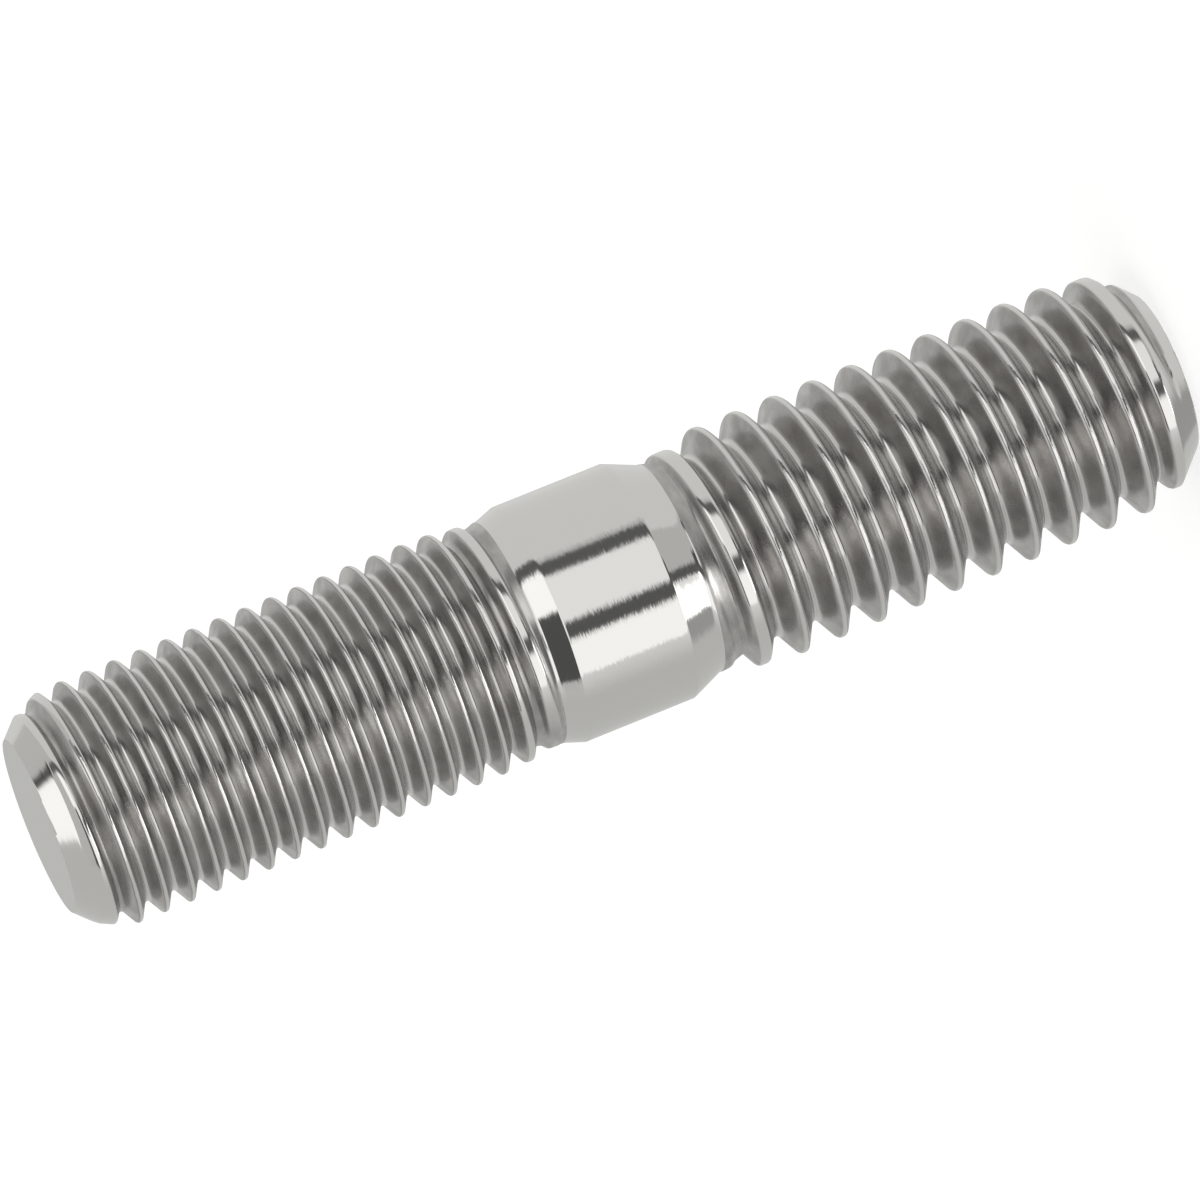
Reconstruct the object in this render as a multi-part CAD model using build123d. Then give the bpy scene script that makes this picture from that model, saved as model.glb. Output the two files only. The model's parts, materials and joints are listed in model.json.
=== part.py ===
from build123d import *

import os
from math import ceil, radians, tan

# A stud bolt turned and thread-rolled from one bar, with a coarse thread below and a fine one above.
# It stands on its coarse end: z = 0 is that end's face and Z is the axis. Millimetres and degrees.
# The coarse thread has its true helical form, and the fine one is the solid that its crests fill.

# Both threads are 60 degree unified threads of one nominal size, 3/8 inch, and right-handed
thread_diameter = 9.44
thread_angle = 60

# Coarse end, 16 turns to the inch
coarse_pitch = 25.4 / 16
coarse_length = 20.05
coarse_runout = 2.25
coarse_face_diameter = 6.4
coarse_lead_diameter = 8.4
coarse_lead_angle = 17
coarse_neck_diameter = 8.36
coarse_crest_offset = 0.14

# Fine end, 24 turns to the inch
fine_pitch = 25.4 / 24
fine_length = 19.44
fine_runout = 2.0
fine_face_diameter = 6.92
fine_lead_diameter = 8.3
fine_lead_angle = 26
fine_neck_diameter = 8.9

# Plain shank between the threads, and the cones that lead down from it to the necks
shank_diameter = 9.46
shank_length = 4.4
coarse_shoulder = 1.35
fine_shoulder = 0.86

# Both ends: a turned chamfer as far as the lead diameter, then the first turns rise to full crest
chamfer_angle = 45

# The crests go down to the neck's diameter, which is kept over this length
neck_length = 0.35

# The groove's bottom comes up on a cone, as the end of the dies leaves it, and stops short of the shoulder
exit_angle = 16
neck_land = 0.05

# The groove's cutting tool stands this far outside the crests
tool_clearance = 0.1

stud_length = coarse_length + coarse_shoulder + shank_length + fine_shoulder + fine_length
crest_radius = thread_diameter / 2
flank_slope = tan(radians(thread_angle / 2))


def root_radius(pitch):
    """Radius at the bottom of the groove, 17/24 of the sharp height down."""
    return crest_radius - 17 / 24 * pitch / (2 * flank_slope)


def turned(outline):
    """A solid turned about Z from its (radius, height) points."""
    with BuildPart() as piece:
        with BuildSketch(Plane.XZ):
            with BuildLine():
                Polyline(*outline, close=True)
            make_face()
        revolve(axis=Axis.Z)
    return piece.part


def end_outline(length, runout, face_diameter, lead_diameter, lead_angle, neck_diameter):
    """(radius, height) points of one end, from its face at height 0 to the end of its neck."""
    face = face_diameter / 2
    lead = lead_diameter / 2
    neck = neck_diameter / 2
    chamfer_height = (lead - face) / tan(radians(chamfer_angle))
    lead_height = (crest_radius - lead) / tan(radians(lead_angle))
    return [
        (face, 0),
        (lead, chamfer_height),
        (crest_radius, chamfer_height + lead_height),
        (crest_radius, length - runout),
        (neck, length - neck_length),
        (neck, length),
    ]


def turned_blank():
    """The whole stud before its grooves are made, turned about Z."""
    coarse = end_outline(
        coarse_length,
        coarse_runout,
        coarse_face_diameter,
        coarse_lead_diameter,
        coarse_lead_angle,
        coarse_neck_diameter,
    )
    fine = end_outline(
        fine_length,
        fine_runout,
        fine_face_diameter,
        fine_lead_diameter,
        fine_lead_angle,
        fine_neck_diameter,
    )
    shank_start = coarse_length + coarse_shoulder
    outline = [
        (0, 0),
        *coarse,
        (shank_diameter / 2, shank_start),
        (shank_diameter / 2, shank_start + shank_length),
        *[(radius, stud_length - height) for radius, height in reversed(fine)],
        (0, stud_length),
    ]
    return turned(outline)


def helix(pitch, radius, turns, height, angle):
    """A right-hand helix that starts at a height and angle."""
    return Location((0, 0, height), (0, 0, angle)) * Edge.make_helix(pitch, turns * pitch, radius)


def groove(pitch, length, neck_diameter, crest_offset):
    """What is removed between the turns of one thread, from beyond the end face at z = 0 to the neck.

    The section is a V with a flat bottom and the flats of the crests left between its turns. Near the
    neck its bottom is cut short by the exit cone, so it comes out of the blank as it goes round.
    """
    root = root_radius(pitch)
    top = crest_radius + tool_clearance / 2
    crest_flat = pitch / 8
    top_half = (pitch - crest_flat) / 2 + (top - crest_radius) * flank_slope
    root_half = top_half - (top - root) * flank_slope
    section = [(root, -root_half), (root, root_half), (top, top_half), (top, -top_half)]

    # The groove's middle starts one turn and a half below a crest that lies on the +X side
    height = crest_offset - 1.5 * pitch
    turns = (length - height) / pitch + 1
    count = ceil(turns)
    stretch = turns / count
    faces = []
    caps = []
    for i in range(count):
        start = height + i * stretch * pitch
        edges = [helix(pitch, r, stretch, start + z, i * stretch * 360) for r, z in section]
        faces += [Face.make_surface_from_curves(a, b) for a, b in zip(edges, edges[1:] + edges[:1])]
        caps += [[edge @ 0 for edge in edges], [edge @ 1 for edge in edges]]
    faces += [Face(Wire.make_polygon(caps[0])), Face(Wire.make_polygon(caps[-1]))]
    winding = Solid(Shell(faces))

    exit_slope = tan(radians(exit_angle))
    neck = neck_diameter / 2
    exit_start = length - neck_land - (neck - root) / exit_slope
    outside = 2 * crest_radius
    kept = [
        (0, exit_start),
        (root, exit_start),
        (neck + neck_land * exit_slope, length),
        (outside, length),
        (outside, length + outside),
        (0, length + outside),
    ]
    return winding - turned(kept)


coarse_groove = groove(coarse_pitch, coarse_length, coarse_neck_diameter, coarse_crest_offset)
stud_bolt = turned_blank() - coarse_groove
stud_bolt.label = "stud_bolt"

os.makedirs("parts", exist_ok=True)
export_step(stud_bolt, "parts/stud_bolt.step")
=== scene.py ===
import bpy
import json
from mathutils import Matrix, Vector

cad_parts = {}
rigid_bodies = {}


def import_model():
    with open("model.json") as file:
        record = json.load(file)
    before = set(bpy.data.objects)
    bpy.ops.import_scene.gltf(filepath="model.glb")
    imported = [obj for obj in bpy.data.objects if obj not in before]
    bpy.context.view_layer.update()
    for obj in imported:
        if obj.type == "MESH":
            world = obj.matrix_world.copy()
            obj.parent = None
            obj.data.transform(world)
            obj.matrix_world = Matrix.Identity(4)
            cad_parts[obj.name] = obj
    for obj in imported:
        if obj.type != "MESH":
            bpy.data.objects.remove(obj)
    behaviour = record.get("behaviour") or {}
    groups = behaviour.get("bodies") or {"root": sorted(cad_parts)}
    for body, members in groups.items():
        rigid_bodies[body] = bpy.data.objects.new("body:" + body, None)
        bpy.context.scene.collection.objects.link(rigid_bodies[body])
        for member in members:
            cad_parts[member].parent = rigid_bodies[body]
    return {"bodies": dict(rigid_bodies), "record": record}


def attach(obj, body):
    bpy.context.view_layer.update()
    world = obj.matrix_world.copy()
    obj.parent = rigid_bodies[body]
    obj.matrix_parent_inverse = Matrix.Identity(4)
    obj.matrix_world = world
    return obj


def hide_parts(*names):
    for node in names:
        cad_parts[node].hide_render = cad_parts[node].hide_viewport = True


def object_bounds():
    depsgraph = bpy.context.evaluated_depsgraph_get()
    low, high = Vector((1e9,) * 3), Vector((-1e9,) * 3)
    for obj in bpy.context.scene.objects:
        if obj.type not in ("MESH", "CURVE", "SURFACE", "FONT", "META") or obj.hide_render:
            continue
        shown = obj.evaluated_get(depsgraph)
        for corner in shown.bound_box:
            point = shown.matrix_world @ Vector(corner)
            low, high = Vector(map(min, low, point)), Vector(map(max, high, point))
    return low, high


bl_info = {
    "name": "Stud bolt",
    "version": (1, 0, 0),
    "blender": (4, 5, 0),
    "location": "3D View > Sidebar > Stud bolt",
    "description": "A rolled and ground stainless steel stud bolt, with its stage",
    "category": "Object",
}

import json
from math import cos, pi, radians, sin, tan

import bpy
from bpy.props import FloatProperty, FloatVectorProperty, IntProperty, PointerProperty
from mathutils import Matrix, Vector

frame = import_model()
CAD_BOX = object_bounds()

MM = 0.001
INCH = 25.4 * MM
NODE = "stud_bolt"
BODY = next(iter(frame["bodies"]))
MOUNTS = {mount["name"]: mount for mount in frame["record"]["mounts"]}

# Both threads are 60 degree unified threads: heights are shares of the sharp V's height
FLANK_SLOPE = tan(radians(60))
SHARP_HEIGHT = cos(radians(30))
CREST_ROUND = 1 / 8
ROOT_ROUND = 1 / 6

MATH = "ShaderNodeMath"


def linear(colour):
    """An sRGB hex colour as linear red, green, blue and alpha."""
    parts = [int(colour[i : i + 2], 16) / 255 for i in (1, 3, 5)]
    return (*[c / 12.92 if c <= 0.04045 else ((c + 0.055) / 1.055) ** 2.4 for c in parts], 1)


def add(tree, kind, inputs=(), **settings):
    """Adds a node with its settings, and sets or links its inputs, given in order or by name."""
    node = tree.nodes.new(kind)
    for name, value in settings.items():
        setattr(node, name, value)
    for key, value in inputs.items() if isinstance(inputs, dict) else enumerate(inputs):
        if isinstance(value, bpy.types.Node):
            value = value.outputs[0]
        if isinstance(value, bpy.types.NodeSocket):
            tree.links.new(value, node.inputs[key])
        elif value is not None:
            node.inputs[key].default_value = value
    return node


def mount_place(name):
    """(lower end, upper end, radius) of a mount on the axis, in metres."""
    mount = MOUNTS[name]
    half = mount["dims"]["length_mm"] * MM / 2
    return mount["pos_m"][2] - half, mount["pos_m"][2] + half, mount["dims"]["r_mm"] * MM


STUD_LENGTH = CAD_BOX[1].z
SHANK_START, SHANK_END, SHANK_RADIUS = mount_place("shank")
COARSE_FULL = mount_place("coarse_thread")[1]
FINE_FULL = STUD_LENGTH - mount_place("fine_thread")[0]
CREST_RADIUS = mount_place("coarse_thread")[2]


class StudSizes(bpy.types.PropertyGroup):
    """Sizes of the stud, which are the inputs of its geometry tree under the same names."""

    stud_length: FloatProperty(
        name="Stud length", description="From end face to end face", default=STUD_LENGTH, unit="LENGTH")
    crest_radius: FloatProperty(
        name="Crest radius", description="Radius over both threads' crests", default=CREST_RADIUS,
        unit="LENGTH")
    shank_radius: FloatProperty(
        name="Shank radius", description="Radius of the plain shank", default=SHANK_RADIUS, unit="LENGTH")
    shank_start: FloatProperty(
        name="Shank start", description="Height of the cylinder's coarse end", default=SHANK_START,
        unit="LENGTH")
    shank_end: FloatProperty(
        name="Shank end", description="Height of the cylinder's fine end", default=SHANK_END, unit="LENGTH")
    chamfer_angle: FloatProperty(
        name="Chamfer angle", description="Slope of the chamfer on both ends", default=radians(45),
        subtype="ANGLE")
    exit_angle: FloatProperty(
        name="Exit angle", description="Slope of the cone on which the grooves come up to the neck",
        default=radians(16), subtype="ANGLE")
    neck_length: FloatProperty(
        name="Neck length", description="Length over which a neck keeps its radius", default=0.35 * MM,
        unit="LENGTH")
    coarse_pitch: FloatProperty(
        name="Coarse pitch", description="Rise of the coarse thread in a turn", default=INCH / 16,
        unit="LENGTH")
    coarse_length: FloatProperty(
        name="Coarse length", description="From the coarse end's face to its neck", default=20.05 * MM,
        unit="LENGTH")
    coarse_full_thread: FloatProperty(
        name="Coarse full thread", description="From the coarse end's face to the start of the run-out",
        default=COARSE_FULL, unit="LENGTH")
    coarse_face_radius: FloatProperty(
        name="Coarse face radius", description="Radius of the flat on the coarse end", default=3.2 * MM,
        unit="LENGTH")
    coarse_lead_radius: FloatProperty(
        name="Coarse lead radius", description="Radius where the chamfer ends and the lead starts",
        default=4.2 * MM, unit="LENGTH")
    coarse_lead_angle: FloatProperty(
        name="Coarse lead angle", description="Slope on which the first crests rise", default=radians(17),
        subtype="ANGLE")
    coarse_lead_cut: FloatProperty(
        name="Coarse lead cut", description="How far the first crests slope with the lead, as a share",
        default=0, subtype="FACTOR")
    coarse_neck_radius: FloatProperty(
        name="Coarse neck radius", description="Radius between the coarse thread and its shoulder",
        default=4.18 * MM, unit="LENGTH")
    coarse_first_crest: FloatProperty(
        name="Coarse first crest", description="Distance from the face to a crest on the +X side",
        default=0.14 * MM, unit="LENGTH")
    fine_pitch: FloatProperty(
        name="Fine pitch", description="Rise of the fine thread in a turn", default=INCH / 24,
        unit="LENGTH")
    fine_length: FloatProperty(
        name="Fine length", description="From the fine end's face to its neck", default=19.44 * MM,
        unit="LENGTH")
    fine_full_thread: FloatProperty(
        name="Fine full thread", description="From the fine end's face to the start of the run-out",
        default=FINE_FULL, unit="LENGTH")
    fine_face_radius: FloatProperty(
        name="Fine face radius", description="Radius of the flat on the fine end", default=3.46 * MM,
        unit="LENGTH")
    fine_lead_radius: FloatProperty(
        name="Fine lead radius", description="Radius where the chamfer ends and the lead starts",
        default=4.15 * MM, unit="LENGTH")
    fine_lead_angle: FloatProperty(
        name="Fine lead angle", description="Slope on which the first crests rise", default=radians(26),
        subtype="ANGLE")
    fine_lead_cut: FloatProperty(
        name="Fine lead cut", description="How far the first crests slope with the lead, as a share",
        default=1, subtype="FACTOR")
    fine_neck_radius: FloatProperty(
        name="Fine neck radius", description="Radius between the fine thread and its shoulder",
        default=4.45 * MM, unit="LENGTH")
    fine_first_crest: FloatProperty(
        name="Fine first crest", description="Distance from the face to a crest on the +X side",
        default=0.57 * MM, unit="LENGTH")
    columns: IntProperty(name="Columns", description="Faces around the stud", default=120, min=24)
    rows: IntProperty(name="Rows", description="Faces along one turn's section", default=24, min=8)


class SteelLook(bpy.types.PropertyGroup):
    """Colours and finish of the steel."""

    bright: FloatVectorProperty(
        name="Bright steel", description="Colour of the ground shank, the chamfers, crests and roots",
        default=linear("#D5D4D2"), size=4, subtype="COLOR")
    flank: FloatVectorProperty(
        name="Flank steel", description="Colour of the threads' flanks, dulled by the dies",
        default=linear("#A19F9D"), size=4, subtype="COLOR")
    ground_roughness: FloatProperty(
        name="Ground roughness", description="Roughness of the shank and its shoulders", default=0.075,
        subtype="FACTOR")
    grit_tilt: FloatProperty(
        name="Grit tilt", description="Most that a grit mark tilts the ground surface",
        default=radians(2.6), subtype="ANGLE")
    crest_roughness: FloatProperty(
        name="Crest roughness", description="Roughness of the threads' crests", default=0.11,
        subtype="FACTOR")
    flank_roughness: FloatProperty(
        name="Flank roughness", description="Roughness of the threads' flanks", default=0.3,
        subtype="FACTOR")
    flank_evenness: FloatProperty(
        name="Flank evenness", description="Least dullness of a cloudy flank, as a share", default=0.6,
        subtype="FACTOR")
    root_dullness: FloatProperty(
        name="Root dullness", description="Share of the flanks' dullness that the roots have", default=0.2,
        subtype="FACTOR")
    seam_offset: FloatProperty(
        name="Seam offset", description="From the crest's middle to the seam, towards the end face",
        default=0.05 * MM, unit="LENGTH")
    seam_width: FloatProperty(
        name="Seam width", description="Width of the dull line along a crest", default=0.05 * MM,
        unit="LENGTH")
    seam_depth: FloatProperty(
        name="Seam depth", description="Depth of the dull line along a crest", default=0.003 * MM,
        unit="LENGTH")
    faced_roughness: FloatProperty(
        name="Faced roughness", description="Roughness of the flat end faces", default=0.33,
        subtype="FACTOR")


class StageLook(bpy.types.PropertyGroup):
    """Camera and surroundings."""

    distance: FloatProperty(
        name="Camera distance", description="From the camera to the point it looks at", default=420.85 * MM,
        unit="LENGTH")
    look_height: FloatProperty(
        name="Look height", description="Height on the stud's axis that the camera looks at",
        default=23.3 * MM, unit="LENGTH")
    elevation: FloatProperty(
        name="Elevation", description="Angle of the camera above the floor", default=radians(10.5),
        subtype="ANGLE")
    roll: FloatProperty(
        name="Roll", description="Turn of the camera about its line of sight", default=radians(-111.98),
        subtype="ANGLE")
    lens: FloatProperty(
        name="Lens", description="Focal length on a 36 mm sensor", default=337.3, unit="CAMERA")
    floor_radius: FloatProperty(
        name="Floor radius", description="Radius of the floor", default=6, unit="LENGTH")


def group(name, sizes):
    """A geometry tree with an input for each size and one geometry output, and its inputs' sockets."""
    tree = bpy.data.node_groups.new(name, "GeometryNodeTree")
    for size, default in sizes.items():
        kind = "NodeSocketInt" if isinstance(default, int) else "NodeSocketFloat"
        tree.interface.new_socket(size, in_out="INPUT", socket_type=kind).default_value = default
    tree.interface.new_socket("Geometry", in_out="OUTPUT", socket_type="NodeSocketGeometry")
    return tree, tree.nodes.new("NodeGroupInput").outputs


def grid_to_wind(tree, rows, columns):
    """A grid for one skin, the row of each of its points, and its share of the way round the stud."""
    column_count = add(tree, MATH, (columns, 1), operation="ADD")
    grid = add(tree, "GeometryNodeMeshGrid", (1, 1, rows, column_count))
    index = add(tree, "GeometryNodeInputIndex")
    row = add(tree, MATH, (index, column_count), operation="DIVIDE")
    row = add(tree, MATH, (row,), operation="FLOOR")
    column = add(tree, MATH, (index, column_count), operation="MODULO")
    return grid, row, add(tree, MATH, (column, columns), operation="DIVIDE")


def wound(tree, grid, around, radius, height):
    """The grid wound round the axis, with its faces outwards and shaded smooth."""
    angle = add(tree, MATH, (around, 2 * pi), operation="MULTIPLY")
    cosine = add(tree, MATH, (angle,), operation="COSINE")
    sine = add(tree, MATH, (angle,), operation="SINE")
    x = add(tree, MATH, (radius, cosine), operation="MULTIPLY")
    y = add(tree, MATH, (radius, sine), operation="MULTIPLY")
    position = add(tree, "ShaderNodeCombineXYZ", (x, y, height))
    skin = add(tree, "GeometryNodeSetPosition", {"Geometry": grid, "Position": position})
    skin = add(tree, "GeometryNodeFlipFaces", (skin,))
    return add(tree, "GeometryNodeSetShadeSmooth", {"Geometry": skin, "Shade Smooth": True})


def joined(tree, parts):
    """Several geometries as one."""
    whole = add(tree, "GeometryNodeJoinGeometry")
    for part in parts:
        tree.links.new(part.outputs[0], whole.inputs[0])
    return whole


# What the two threaded ends share, and what each has under its own name, such as "Coarse pitch"
SHARED_SIZES = ("Crest radius", "Chamfer angle", "Exit angle", "Neck length", "Columns", "Rows")
OWN_SIZES = (
    "Pitch",
    "Length",
    "Full thread",
    "Face radius",
    "Lead radius",
    "Lead angle",
    "Lead cut",
    "Neck radius",
    "First crest",
)

# The skin is wound from so many turns below the face to so many beyond the neck, and held between them
TURNS_BELOW = 2
TURNS_BEYOND = 1

# Rows of the skin lie closer at crests and roots than on the straight flanks, by this share
ROW_GATHERING = 0.45

# Widths over which things are rounded: crests that the chamfer cuts, the crests' rise to full height,
# and the root where it meets the cone on which it comes up
CUT_ROUND = 0.05 * MM
RISE_ROUND = 0.2 * MM
EXIT_ROUND = 0.2 * MM

# A crest that isn't full is rounder by this share of what it lacks
LACKING_ROUND = 0.6

# A first crest reaches the lead's radius beyond its own middle, by this share of the pitch
REACH_BEYOND = 0.12

# The shoulders start in a fillet, this long on either side of the corner that it fills
FILLET = 0.07 * MM

# For the finish: a crest lower than this under full height has no seam or dents, and the neck is as dull
# as this share of the groove's depth
FULL_CREST_MARGIN = 0.08 * MM
NECK_SHARE = 0.3


def threaded_end(sizes):
    """The tree of one threaded end, from its face at height 0 up to its neck, as one wound skin.

    Each row of the skin follows the helix, so a row in column C stands C / Columns of a pitch above its
    start and the last column ends where the first begins one turn higher. Rows that would pass the face
    or the neck stop there.
    """
    defaults = {name: sizes[name] for name in SHARED_SIZES}
    defaults |= {name: sizes[f"Coarse {name.lower()}"] for name in OWN_SIZES}
    tree, size = group("Threaded end", defaults)

    # Heights of the thread form
    sharp = add(tree, MATH, (size["Pitch"], SHARP_HEIGHT), operation="MULTIPLY")
    crest_arc = add(tree, MATH, (sharp, CREST_ROUND), operation="MULTIPLY")
    root_arc = add(tree, MATH, (sharp, ROOT_ROUND), operation="MULTIPLY")
    depth = add(tree, MATH, (sharp, 1 - CREST_ROUND - ROOT_ROUND), operation="MULTIPLY")

    # The grid's columns go round the stud, and its rows up it
    turns = add(tree, MATH, (size["Length"], size["Pitch"]), operation="DIVIDE")
    turns = add(tree, MATH, (turns, TURNS_BELOW + TURNS_BEYOND), operation="ADD")
    row_count = add(tree, MATH, (turns, size["Rows"]), operation="MULTIPLY")
    grid, row, around = grid_to_wind(tree, row_count, size["Columns"])

    # Where a row lies in the section: whole numbers are crests, and halves are roots
    even = add(tree, MATH, (row, size["Rows"]), operation="DIVIDE")
    wave = add(tree, MATH, (even, 4 * pi), operation="MULTIPLY")
    wave = add(tree, MATH, (wave,), operation="SINE")
    phase = add(tree, MATH, (wave, -ROW_GATHERING / (4 * pi), even), operation="MULTIPLY_ADD")

    # Heights of a point and of the crest nearest to it. The point's is kept between the face and the neck
    turn = add(tree, MATH, (phase,), operation="ROUND")
    heights = []
    for place in (phase, turn):
        climb = add(tree, MATH, (place, around), operation="ADD")
        climb = add(tree, MATH, (climb, -TURNS_BELOW), operation="ADD")
        heights.append(
            add(tree, MATH, (climb, size["Pitch"], size["First crest"]), operation="MULTIPLY_ADD"))
    height, crest_height = heights
    height = add(tree, MATH, (height, 0), operation="MAXIMUM")
    height = add(tree, MATH, (height, size["Length"]), operation="MINIMUM")

    # Radius that this crest reaches: lead, full crest or run-out, the least of them, but never the root
    chamfer_slope = add(tree, MATH, (size["Chamfer angle"],), operation="TANGENT")
    lead_slope = add(tree, MATH, (size["Lead angle"],), operation="TANGENT")
    chamfer_rise = add(tree, MATH, (size["Lead radius"], size["Face radius"]), operation="SUBTRACT")
    chamfer_length = add(tree, MATH, (chamfer_rise, chamfer_slope), operation="DIVIDE")
    leads = []
    for place in (crest_height, height):
        along_lead = add(tree, MATH, (place, chamfer_length), operation="SUBTRACT")
        leads.append(
            add(tree, MATH, (along_lead, lead_slope, size["Lead radius"]), operation="MULTIPLY_ADD"))
    beyond = add(tree, MATH, (size["Pitch"], lead_slope), operation="MULTIPLY")
    lead = add(tree, MATH, (beyond, REACH_BEYOND, leads[0]), operation="MULTIPLY_ADD")
    runout = add(tree, MATH, (size["Length"], size["Full thread"]), operation="SUBTRACT")
    cone_length = add(tree, MATH, (runout, size["Neck length"]), operation="SUBTRACT")
    crest_rise = add(tree, MATH, (size["Crest radius"], size["Neck radius"]), operation="SUBTRACT")
    runout_slope = add(tree, MATH, (crest_rise, cone_length), operation="DIVIDE")
    off_neck = add(tree, MATH, (size["Length"], crest_height), operation="SUBTRACT")
    off_neck = add(tree, MATH, (off_neck, size["Neck length"]), operation="SUBTRACT")
    off_neck = add(tree, MATH, (off_neck, 0), operation="MAXIMUM")
    fade = add(tree, MATH, (off_neck, runout_slope, size["Neck radius"]), operation="MULTIPLY_ADD")
    reach = add(tree, MATH, (lead, size["Crest radius"], RISE_ROUND), operation="SMOOTH_MIN")
    reach = add(tree, MATH, (reach, fade, RISE_ROUND), operation="SMOOTH_MIN")
    root = add(tree, MATH, (size["Crest radius"], depth), operation="SUBTRACT")
    reach = add(tree, MATH, (reach, root), operation="MAXIMUM")

    # Depth under the crest: an arc over the crest, the straight flank, and an arc in the root
    across = add(tree, MATH, (phase, turn), operation="SUBTRACT")
    across = add(tree, MATH, (across, size["Pitch"]), operation="MULTIPLY")
    off_crest = add(tree, MATH, (across,), operation="ABSOLUTE")
    off_root = add(tree, MATH, (size["Pitch"], 0.5), operation="MULTIPLY")
    off_root = add(tree, MATH, (off_root, off_crest), operation="SUBTRACT")
    falls = []
    for arc, away in ((crest_arc, off_crest), (root_arc, off_root)):
        tangent_point = add(tree, MATH, (arc, SHARP_HEIGHT), operation="MULTIPLY")
        on_arc = add(tree, MATH, (away, tangent_point), operation="MINIMUM")
        arc_square = add(tree, MATH, (arc, arc), operation="MULTIPLY")
        on_arc_square = add(tree, MATH, (on_arc, on_arc), operation="MULTIPLY")
        rest = add(tree, MATH, (arc_square, on_arc_square), operation="SUBTRACT")
        rest = add(tree, MATH, (rest,), operation="SQRT")
        arc_fall = add(tree, MATH, (arc, rest), operation="SUBTRACT")
        past_arc = add(tree, MATH, (away, on_arc), operation="SUBTRACT")
        falls.append(add(tree, MATH, (past_arc, FLANK_SLOPE, arc_fall), operation="MULTIPLY_ADD"))
    from_root = add(tree, MATH, (depth, falls[1]), operation="SUBTRACT")
    near_root = add(tree, MATH, (off_root, off_crest), operation="LESS_THAN")
    fall = add(tree, "ShaderNodeMix", {0: near_root, 2: falls[0], 3: from_root})

    # A crest that isn't full is lower and rounder
    section = add(tree, MATH, (size["Crest radius"], fall), operation="SUBTRACT")
    lacking = add(tree, MATH, (size["Crest radius"], reach), operation="SUBTRACT")
    top_round = add(tree, MATH, (lacking, LACKING_ROUND, CUT_ROUND), operation="MULTIPLY_ADD")
    section = add(tree, MATH, (section, reach, top_round), operation="SMOOTH_MIN")

    # The groove's bottom comes up on a cone
    to_shoulder = add(tree, MATH, (size["Length"], height), operation="SUBTRACT")
    exit_slope = add(tree, MATH, (size["Exit angle"],), operation="TANGENT")
    exit_drop = add(tree, MATH, (to_shoulder, exit_slope), operation="MULTIPLY")
    exit_cone = add(tree, MATH, (size["Neck radius"], exit_drop), operation="SUBTRACT")
    section = add(tree, MATH, (section, exit_cone, EXIT_ROUND), operation="SMOOTH_MAX")

    # Chamfer and lead cut the first crests, and the last of the neck runs into the shoulder's fillet
    chamfer = add(tree, MATH, (height, chamfer_slope, size["Face radius"]), operation="MULTIPLY_ADD")
    lead_cut = add(tree, "ShaderNodeMix", {0: size["Lead cut"], 2: lead, 3: leads[1]})
    lead_cut = add(tree, MATH, (lead_cut, size["Lead radius"]), operation="MAXIMUM")
    end_cut = add(tree, MATH, (chamfer, lead_cut), operation="MINIMUM")
    to_edge = add(tree, MATH, (height, CUT_ROUND), operation="MINIMUM")
    cut = add(tree, MATH, (section, end_cut, to_edge), operation="SMOOTH_MIN")
    off_shoulder = add(
        tree, "ShaderNodeMapRange", (to_shoulder, 0, FILLET, 0, 1), interpolation_type="SMOOTHSTEP")
    radius = add(tree, "ShaderNodeMix", {0: off_shoulder, 2: size["Neck radius"], 3: cut})

    skin = wound(tree, grid, around, radius, height)

    # For the finish: how deep in the groove a point lies, from 0 on the crests and the chamfer to 1 at
    # the root, and how far over the crest's middle line, away from the face, which on the chamfer is far
    top = add(tree, MATH, (reach, end_cut), operation="MINIMUM")
    below = add(tree, MATH, (top, radius), operation="SUBTRACT")
    groove = add(tree, MATH, (below, depth), operation="DIVIDE")
    last = add(tree, MATH, (size["Pitch"], -0.5, size["Length"]), operation="MULTIPLY_ADD")
    past = add(tree, "ShaderNodeMapRange", (crest_height, last, size["Length"], 0, NECK_SHARE))
    groove = add(tree, MATH, (groove, past), operation="MAXIMUM")
    full = add(tree, MATH, (size["Crest radius"], -FULL_CREST_MARGIN), operation="ADD")
    not_full = add(tree, MATH, (top, full), operation="LESS_THAN")
    across = add(tree, MATH, (not_full, size["Pitch"], across), operation="MULTIPLY_ADD")
    for name, value in (("groove", groove), ("across", across)):
        skin = add(
            tree, "GeometryNodeStoreNamedAttribute", {"Geometry": skin, "Name": name, "Value": value})

    cap = add(
        tree, "GeometryNodeMeshCircle", (size["Columns"], size["Face radius"]), fill_type="TRIANGLE_FAN")
    cap = add(tree, "GeometryNodeFlipFaces", (cap,))
    cap = add(tree, "GeometryNodeSetShadeSmooth", {"Geometry": cap, "Shade Smooth": False})
    add(tree, "NodeGroupOutput", (joined(tree, (skin, cap)),))
    return tree


# Each of the shank's three stretches, a cone, the cylinder and a cone, has so many rows
STRETCH_ROWS = 12

# Points nearer than this are one point
WELD = 0.001 * MM


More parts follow.
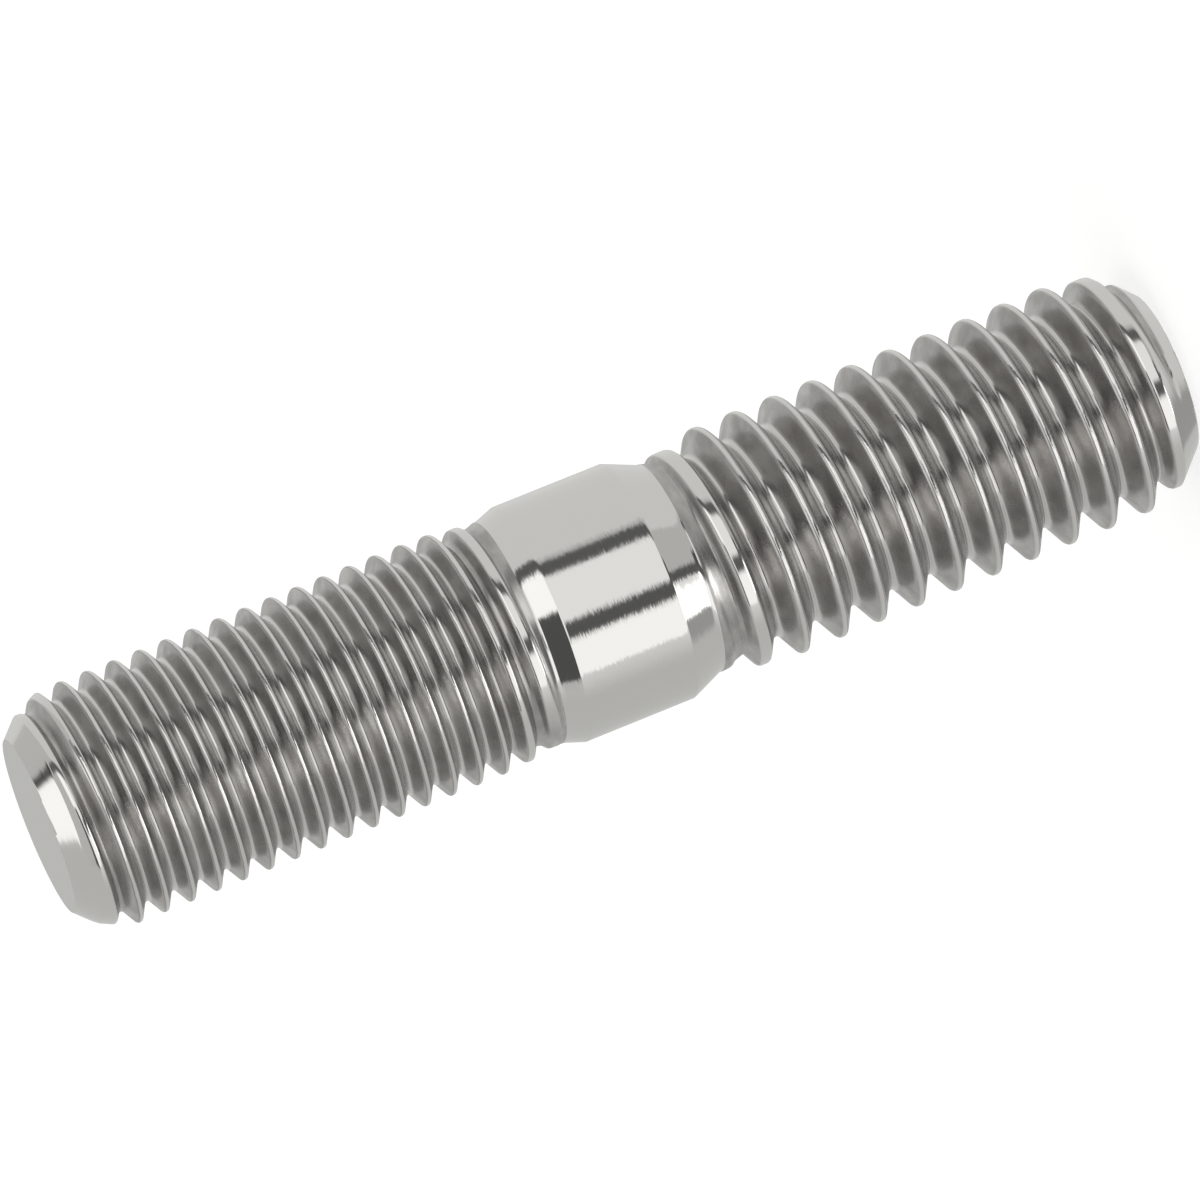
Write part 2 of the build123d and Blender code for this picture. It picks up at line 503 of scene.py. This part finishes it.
def stud_skin(sizes, rolled, ground, faced):
    """The tree of the whole stud: two threaded ends, the plain shank between, and the three finishes."""
    tree, size = group("Stud bolt", sizes)
    end_tree = threaded_end(sizes)
    ends = []
    for side in ("Coarse", "Fine"):
        inputs = {name: size[name] for name in SHARED_SIZES}
        inputs |= {name: size[f"{side} {name.lower()}"] for name in OWN_SIZES}
        ends.append(add(tree, "GeometryNodeGroup", inputs, node_tree=end_tree))
    turned_over = add(tree, "ShaderNodeCombineXYZ", (0, 0, size["Stud length"]))
    ends[1] = add(
        tree, "GeometryNodeTransform",
        {"Geometry": ends[1], "Translation": turned_over, "Rotation": (pi, 0, 0)})

    # The shank's skin, with its rows gathered at the edges between the stretches
    fine_neck = add(tree, MATH, (size["Stud length"], size["Fine length"]), operation="SUBTRACT")
    stops = (size["Coarse length"], size["Shank start"], size["Shank end"], fine_neck)
    grid, row, around = grid_to_wind(tree, (len(stops) - 1) * STRETCH_ROWS + 1, size["Columns"])
    height = stops[0]
    for stretch, (below, above) in enumerate(zip(stops, stops[1:])):
        share = add(
            tree, "ShaderNodeMapRange", (row, stretch * STRETCH_ROWS, (stretch + 1) * STRETCH_ROWS, 0, 1),
            interpolation_type="SMOOTHSTEP")
        rise = add(tree, MATH, (above, below), operation="SUBTRACT")
        height = add(tree, MATH, (share, rise, height), operation="MULTIPLY_ADD")

    # The cylinder, less the two shoulders: each is a cone that starts in a fillet at its neck
    radius = size["Shank radius"]
    for neck, neck_radius, corner in (
        (stops[0], size["Coarse neck radius"], stops[1]),
        (stops[3], size["Fine neck radius"], stops[2]),
    ):
        length = add(tree, MATH, (corner, neck), operation="SUBTRACT")
        length = add(tree, MATH, (length,), operation="ABSOLUTE")
        length = add(tree, MATH, (length, FILLET), operation="SUBTRACT")
        widening = add(tree, MATH, (size["Shank radius"], neck_radius), operation="SUBTRACT")
        slope = add(tree, MATH, (widening, length), operation="DIVIDE")
        from_neck = add(tree, MATH, (height, neck), operation="SUBTRACT")
        from_neck = add(tree, MATH, (from_neck,), operation="ABSOLUTE")
        from_neck = add(tree, MATH, (from_neck, FILLET), operation="SUBTRACT")
        cone = add(tree, MATH, (from_neck, slope, neck_radius), operation="MULTIPLY_ADD")
        fillet_round = add(tree, MATH, (slope, FILLET), operation="MULTIPLY")
        shoulder = add(tree, MATH, (cone, neck_radius, fillet_round), operation="SMOOTH_MAX")
        radius = add(tree, MATH, (radius, shoulder), operation="MINIMUM")
    shank = wound(tree, grid, around, radius, height)
    welded = add(
        tree, "GeometryNodeMergeByDistance", {"Geometry": joined(tree, (*ends, shank)), "Distance": WELD})

    # Which finish a face has, by its height
    place = add(tree, "GeometryNodeInputPosition")
    place = add(tree, "ShaderNodeSeparateXYZ", (place,))
    over_neck = add(tree, MATH, (place.outputs["Z"], size["Coarse length"]), operation="GREATER_THAN")
    under_neck = add(tree, MATH, (place.outputs["Z"], fine_neck), operation="LESS_THAN")
    on_shank = add(tree, MATH, (over_neck, under_neck), operation="MULTIPLY")
    half_length = add(tree, MATH, (size["Stud length"], 0.5), operation="MULTIPLY")
    from_middle = add(tree, MATH, (place.outputs["Z"], half_length), operation="SUBTRACT")
    from_middle = add(tree, MATH, (from_middle,), operation="ABSOLUTE")
    to_face = add(tree, MATH, (half_length, from_middle), operation="SUBTRACT")
    on_face = add(tree, MATH, (to_face, WELD), operation="LESS_THAN")
    skin = add(tree, "GeometryNodeRealizeInstances", (welded,))
    for steel, where in ((rolled, True), (ground, on_shank), (faced, on_face)):
        skin = add(
            tree, "GeometryNodeSetMaterial", {"Geometry": skin, "Selection": where, "Material": steel})
    add(tree, "NodeGroupOutput", (skin,))
    return tree


def material(name, **values):
    """A new material with a metal shader. Returns it, its tree and the shader."""
    made = bpy.data.materials.new(name)
    made.use_nodes = True
    tree = made.node_tree
    tree.nodes.clear()
    shader = add(tree, "ShaderNodeBsdfPrincipled", values)
    add(tree, "ShaderNodeOutputMaterial", (shader,))
    return made, tree, shader


def marks(tree, around, along, detail=2.0):
    """Noise whose marks are so long round the stud and so wide along it, in millimetres."""
    place = add(tree, "ShaderNodeTexCoord")
    scale = (1 / (around * MM), 1 / (around * MM), 1 / (along * MM))
    stretched = add(tree, "ShaderNodeMapping", {"Vector": place.outputs["Object"], "Scale": scale})
    return add(tree, "ShaderNodeTexNoise", {"Vector": stretched, "Scale": 1, "Detail": detail})


def bumps(tree, shader, heights, normal=None):
    """Joins the shader's normal to bumps on the surface or another normal, each (height, its depth)."""
    for height, depth in heights:
        normal = add(
            tree, "ShaderNodeBump",
            {"Strength": 1, "Distance": depth, "Height": height, "Normal": normal})
    tree.links.new(normal.outputs[0], shader.inputs["Normal"])


# Most of a noise's values lie between these
NOISE_SPREAD = (0.35, 0.65)

# Where a flank's dullness starts under the crest and ends above the root, as shares of the groove's depth
FLANK_STARTS = (0.01, 0.08)
FLANK_ENDS = (0.82, 0.98)

# The seam fades out between these shares of its width, to either side of its middle
SEAM_EDGE = (0.3, 0.7)

# Dents are on the crests alone, and fade out between these distances from the crest's middle line
CREST_EDGE = (0.08 * MM, 0.14 * MM)

# Depths of the streaks and waves that rolling, grinding and facing leave, and of the crests' small dents
STREAK_DEPTH = 0.002 * MM
DENT_DEPTH = 0.006 * MM

# Distance between the rings of the facing cut
RING_SPACING = 0.08 * MM


def rolled_steel(look):
    """Cold-rolled austenitic stainless steel: crests and roots burnished bright, flanks dulled by the dies.

    Along each crest runs the seam where the rolled metal closed up: a ragged line, duller than the rest.
    """
    made, tree, shader = material("rolled_stainless_steel", Metallic=1)
    groove = add(tree, "ShaderNodeAttribute", attribute_name="groove").outputs["Fac"]
    across = add(tree, "ShaderNodeAttribute", attribute_name="across").outputs["Fac"]
    ramp = {"interpolation_type": "SMOOTHSTEP"}
    off_crest = add(tree, "ShaderNodeMapRange", (groove, *FLANK_STARTS, 0, 1), **ramp)
    off_root = add(tree, "ShaderNodeMapRange", (groove, *FLANK_ENDS, 1, look.root_dullness), **ramp)
    on_flank = add(tree, MATH, (off_crest, off_root), operation="MULTIPLY")

    on_crest = add(tree, MATH, (across,), operation="ABSOLUTE")
    on_crest = add(tree, "ShaderNodeMapRange", (on_crest, *CREST_EDGE, 1, 0), **ramp)

    # The seam wanders about its own line by as much as it is wide
    ragged = add(tree, MATH, (marks(tree, 0.5, 1.5), look.seam_width, across), operation="MULTIPLY_ADD")
    off_seam = add(tree, MATH, (ragged, -look.seam_offset), operation="SUBTRACT")
    off_seam = add(tree, MATH, (off_seam,), operation="ABSOLUTE")
    seam_edge = [share * look.seam_width for share in SEAM_EDGE]
    seam = add(tree, "ShaderNodeMapRange", (off_seam, *seam_edge, 1, 0), **ramp)

    # Flanks are a little cloudy, where the dies pressed more or less
    clouds = marks(tree, 1.3, 0.5)
    clouds = add(tree, "ShaderNodeMapRange", (clouds, *NOISE_SPREAD, look.flank_evenness, 1))
    dull = add(tree, MATH, (on_flank, clouds), operation="MULTIPLY")
    dull = add(tree, MATH, (seam, dull), operation="MAXIMUM")
    colour = add(
        tree, "ShaderNodeMix", {"Factor": dull, 6: tuple(look.bright), 7: tuple(look.flank)},
        data_type="RGBA")
    tree.links.new(colour.outputs[2], shader.inputs["Base Color"])
    roughness = add(tree, "ShaderNodeMapRange", (dull, 0, 1, look.crest_roughness, look.flank_roughness))
    tree.links.new(roughness.outputs[0], shader.inputs["Roughness"])

    # Streaks that the dies draw round the stud, 0.12 mm wide so that they show, the small dents of the
    # crests, and the seam's own depth
    streaks = marks(tree, 0.9, 0.12)
    dents = add(tree, MATH, (marks(tree, 0.22, 0.16), on_crest), operation="MULTIPLY")
    sunk = add(tree, MATH, (seam, -1), operation="MULTIPLY")
    bumps(tree, shader, [(streaks, STREAK_DEPTH), (dents, DENT_DEPTH), (sunk, look.seam_depth)])
    return made


def ground_steel(look):
    """Centreless-ground stainless steel: a bright mirror, whose grit marks fray its reflections."""
    made, tree, shader = material(
        "ground_stainless_steel",
        **{"Base Color": look.bright, "Metallic": 1, "Roughness": look.ground_roughness})
    # Each grit mark runs round the stud and tilts the surface a little to one side. Real ones are finer:
    # these are 0.03 mm wide, so that they show
    geometry = add(tree, "ShaderNodeNewGeometry")
    sideways = add(
        tree, "ShaderNodeVectorMath", ((0, 0, 1), geometry.outputs["Normal"]), operation="CROSS_PRODUCT")
    tilt = add(tree, "ShaderNodeMapRange", (marks(tree, 0.3, 0.03), 0, 1, -look.grit_tilt, look.grit_tilt))
    sideways = add(tree, "ShaderNodeVectorMath", {0: sideways, "Scale": tilt}, operation="SCALE")
    tilted = add(tree, "ShaderNodeVectorMath", (geometry.outputs["Normal"], sideways), operation="ADD")
    bumps(tree, shader, [(marks(tree, 0.9, 0.3, 0), STREAK_DEPTH)], tilted)
    return made


def faced_steel(look):
    """Stainless steel faced on a lathe: an even satin, from rings too fine to be seen one by one."""
    made, tree, shader = material(
        "faced_stainless_steel",
        **{"Base Color": look.bright, "Metallic": 1, "Roughness": look.faced_roughness})
    place = add(tree, "ShaderNodeTexCoord")
    flat = add(tree, "ShaderNodeMapping", {"Vector": place.outputs["Object"], "Scale": (1, 1, 0)})
    from_axis = add(tree, "ShaderNodeVectorMath", (flat,), operation="LENGTH")
    rings = add(tree, MATH, (from_axis.outputs["Value"], 1 / RING_SPACING), operation="MULTIPLY")
    rings = add(tree, "ShaderNodeTexNoise", {"W": rings, "Scale": 1, "Detail": 1}, noise_dimensions="1D")
    bumps(tree, shader, [(rings, STREAK_DEPTH)])
    return made


class STUD_OT_body(bpy.types.Operator):
    """Makes the stud bolt's steel skin and gives it to the CAD body."""

    bl_idname = "stud.body"
    bl_label = "Make stud bolt"

    def execute(self, context):
        look = context.scene.steel_look
        shown = context.scene.stud_sizes.bl_rna.properties
        sizes = {
            shown[key].name: getattr(context.scene.stud_sizes, key) for key in StudSizes.__annotations__}
        tree = stud_skin(sizes, rolled_steel(look), ground_steel(look), faced_steel(look))
        piece = bpy.data.objects.new("stud_bolt_steel", bpy.data.meshes.new("stud_bolt_steel"))
        context.scene.collection.objects.link(piece)
        skin = piece.modifiers.new("Stud bolt", "NODES")
        skin.node_group = tree
        for item in tree.interface.items_tree:
            if item.in_out == "INPUT":
                skin[item.identifier] = sizes[item.name]
        graph = context.evaluated_depsgraph_get()
        mesh = bpy.data.meshes.new_from_object(piece.evaluated_get(graph), depsgraph=graph)
        piece.modifiers.clear()
        piece.data = mesh
        mesh.name = piece.name
        if not mesh.polygons:
            raise RuntimeError("the stud's tree made no faces")
        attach(piece, BODY)
        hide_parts(NODE)
        return {"FINISHED"}


# The studio as the steel mirrors it, in degrees. Azimuth 0 is the camera's side, -Y, and rises towards +X.
# Each panel has its two sides at the shank's mirror line with the softness of each, the lean of its sides
# with height, its lower and upper edge, and its level. Later panels lie over earlier ones, and all lie over
# the tent's own level. The mirror line is the elevation that the upright shank shows to the camera.
MIRROR_LINE = -10.5
HEIGHT_SOFTNESS = 4
TENT = 0.64
PANELS = {
    "tent's warm side": ((57, 166), (4, 28), 0, (-91, 25), 0.8),
    "side box's glow": ((-72, 0), (36, 6), 0, (-91, 20), 0.9),
    "low front cloth": ((3, 56), (10, 4), 0, (-91, -24), 0.61),
    "low side cloth": ((-166, -62), (28, 10), 0, (-70, -45), 0.42),
    "front strip box": ((-28, 39), (4, 6), 0.27, (-24, 38), 1.08),
    "front strip box's lamp": ((-25, 36), (4, 6), 0.27, (6, 34), 1.4),
    "side box": ((-60, -26.5), (3, 4), 0, (-63, 20), 1.33),
    "side box's lamp": ((-60, -10), (12, 8), 0, (-55, -47), 4.8),
    "low front flag": ((-11, 14), (8, 10), 0, (-52, -26), 0.1),
    "cloth under the stud": ((-181, 181), (1, 1), 0, (-91, -73), 0.8),
    "overhead box": ((-75, 170), (8, 20), 0, (66, 91), 1.4),
    "gap beside the overhead box": ((77, 103), (2, 2), 0, (56, 67), 0.05),
    "flag beside the strip box": ((38.5, 52.5), (7, 5), 0.28, (-28, 48), 0.13),
    "flag beside the side box": ((-23.5, -7.5), (5, 7), -0.17, (-91, -2), 0.12),
    "flag over the side box": ((-66, 5), (5, 6), 0, (15, 35), 0.1),
}

# Colour of all the studio's light, a trace warmer than white
WARM = "#FFFFFD"

# The floor's cloth, and how far its glow lifts it to white for the camera
FLOOR_CLOTH = "#CCCCCC"
FLOOR_GLOW = 0.62


def studio():
    """The world: a pale tent with soft boxes and black flags, which shows as plain white to the camera."""
    world = bpy.data.worlds.new("studio_tent")
    bpy.context.scene.world = world
    world.use_nodes = True
    # What the steel mirrors from below the floor isn't in the floor's shadow
    world.cycles.sampling_method = "NONE"
    tree = world.node_tree
    tree.nodes.clear()
    place = add(tree, "ShaderNodeTexCoord")
    way = add(tree, "ShaderNodeSeparateXYZ", (place.outputs["Generated"],))
    front = add(tree, MATH, (way.outputs["Y"], -1), operation="MULTIPLY")
    azimuth = add(tree, MATH, (way.outputs["X"], front), operation="ARCTAN2")
    azimuth = add(tree, MATH, (azimuth,), operation="DEGREES")
    elevation = add(tree, MATH, (way.outputs["Z"],), operation="ARCSINE")
    elevation = add(tree, MATH, (elevation,), operation="DEGREES")
    level = TENT
    over_mirror_line = add(tree, MATH, (elevation, MIRROR_LINE), operation="SUBTRACT")
    for sides, softness, lean, heights, panel_level in PANELS.values():
        across = add(tree, MATH, (over_mirror_line, -lean, azimuth), operation="MULTIPLY_ADD")
        edges = [
            (across, sides[0], softness[0], (0, 1)),
            (across, sides[1], softness[1], (1, 0)),
            (elevation, heights[0], HEIGHT_SOFTNESS, (0, 1)),
            (elevation, heights[1], HEIGHT_SOFTNESS, (1, 0)),
        ]
        inside = None
        for angle, edge, soft, way_in in edges:
            edge_mask = add(
                tree, "ShaderNodeMapRange", (angle, edge - soft / 2, edge + soft / 2, *way_in),
                interpolation_type="SMOOTHSTEP")
            inside = edge_mask if inside is None else add(
                tree, MATH, (inside, edge_mask), operation="MULTIPLY")
        level = add(tree, "ShaderNodeMix", {0: inside, 2: level, 3: panel_level})
    lit = add(tree, "ShaderNodeBackground", (linear(WARM), level))
    plain = add(tree, "ShaderNodeBackground", ((1, 1, 1, 1), 1))
    light_path = add(tree, "ShaderNodeLightPath")
    shown = add(tree, "ShaderNodeMixShader", (light_path.outputs["Is Camera Ray"], lit, plain))
    add(tree, "ShaderNodeOutputWorld", (shown,))


def floor(radius):
    """A white floor that keeps the stud's soft shadow, and that the steel doesn't mirror."""
    made = bpy.data.materials.new("white_floor")
    made.use_nodes = True
    tree = made.node_tree
    tree.nodes.clear()
    light_path = add(tree, "ShaderNodeLightPath")
    cloth = add(tree, "ShaderNodeBsdfDiffuse", (linear(FLOOR_CLOTH),))
    glow = add(tree, "ShaderNodeEmission", ((1, 1, 1, 1), FLOOR_GLOW))
    seen = add(tree, "ShaderNodeAddShader", (cloth, glow))
    shader = add(tree, "ShaderNodeMixShader", (light_path.outputs["Is Camera Ray"], cloth, seen))
    add(tree, "ShaderNodeOutputMaterial", (shader,))
    corners = [radians(angle) for angle in range(0, 360, 5)]
    rim = [(radius * cos(corner), radius * sin(corner), 0) for corner in corners]
    mesh = bpy.data.meshes.new("floor")
    mesh.from_pydata(rim, [], [range(len(rim))])
    mesh.materials.append(made)
    piece = bpy.data.objects.new("floor", mesh)
    bpy.context.scene.collection.objects.link(piece)
    piece.visible_glossy = False


def camera(look):
    """The camera at the photograph's viewing angle, rolled so that the standing stud lies as in it."""
    lens = bpy.data.cameras.new("camera")
    lens.sensor_width = 36
    lens.lens = look.lens
    lens.clip_start = 0.01
    lens.clip_end = 100
    eye = bpy.data.objects.new("camera", lens)
    bpy.context.scene.collection.objects.link(eye)
    tilt = Matrix.Rotation(radians(90) - look.elevation, 4, "X") @ Matrix.Rotation(look.roll, 4, "Z")
    back = Vector((0, -cos(look.elevation), sin(look.elevation)))
    target = Vector((0, 0, look.look_height))
    eye.matrix_world = Matrix.Translation(target + look.distance * back) @ tilt
    bpy.context.scene.camera = eye


class STUD_OT_stage(bpy.types.Operator):
    """Makes the floor, the studio light and the camera."""

    bl_idname = "stud.stage"
    bl_label = "Make stage"

    def execute(self, context):
        look = context.scene.stage_look
        context.scene.view_settings.view_transform = "Standard"
        floor(look.floor_radius)
        studio()
        camera(look)
        return {"FINISHED"}


class STUD_PT_panel(bpy.types.Panel):
    """Sizes, finish and stage of the stud bolt."""

    bl_idname = "STUD_PT_panel"
    bl_label = "Stud bolt"
    bl_space_type = "VIEW_3D"
    bl_region_type = "UI"
    bl_category = "Stud bolt"

    def draw(self, context):
        layout = self.layout
        for settings in ("stud_sizes", "steel_look", "stage_look"):
            group_of = getattr(context.scene, settings)
            box = layout.box()
            for name in group_of.__annotations__:
                box.prop(group_of, name)
        layout.operator(STUD_OT_body.bl_idname)
        layout.operator(STUD_OT_stage.bl_idname)


CLASSES = (StudSizes, SteelLook, StageLook, STUD_OT_body, STUD_OT_stage, STUD_PT_panel)


def register():
    for each in CLASSES:
        bpy.utils.register_class(each)
    bpy.types.Scene.stud_sizes = PointerProperty(type=StudSizes)
    bpy.types.Scene.steel_look = PointerProperty(type=SteelLook)
    bpy.types.Scene.stage_look = PointerProperty(type=StageLook)


def unregister():
    del bpy.types.Scene.stage_look
    del bpy.types.Scene.steel_look
    del bpy.types.Scene.stud_sizes
    for each in reversed(CLASSES):
        bpy.utils.unregister_class(each)


def main():
    register()
    bpy.ops.stud.body()
    bpy.ops.stud.stage()


if __name__ == "__main__":
    main()
